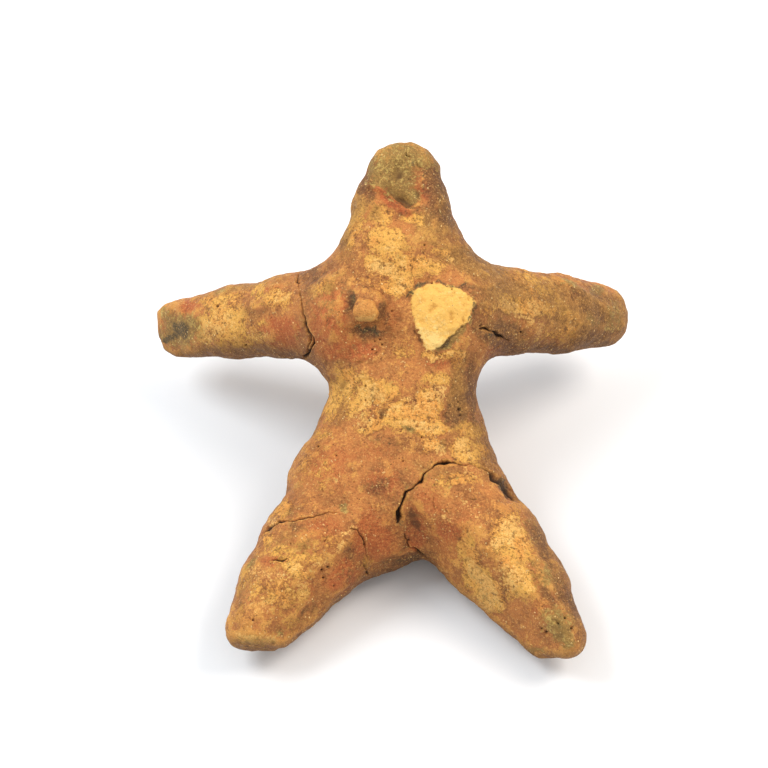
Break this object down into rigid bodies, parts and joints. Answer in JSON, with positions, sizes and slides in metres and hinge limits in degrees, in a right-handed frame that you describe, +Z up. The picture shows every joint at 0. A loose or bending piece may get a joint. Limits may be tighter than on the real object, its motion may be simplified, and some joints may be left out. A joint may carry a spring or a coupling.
{
  "type": "terracotta figurine",
  "caption": "Small hand-modelled clay figure sitting back with arms and legs spread, headless and worn, with mended breaks.",
  "frame": {"origin": "on the ground under the middle of the figure's box", "axes": "+X across the figure from one arm to the other, -Y the way it faces and its legs point, +Z up"},
  "size_m": [0.0912, 0.0818, 0.0541],
  "materials": {
    "terracotta": "low-fired clay, matt, orange-brown with ochre and olive wear, small pores and grit"
  },
  "bodies": {
    "root": {"figure": "terracotta"}
  },
  "joints": []
}
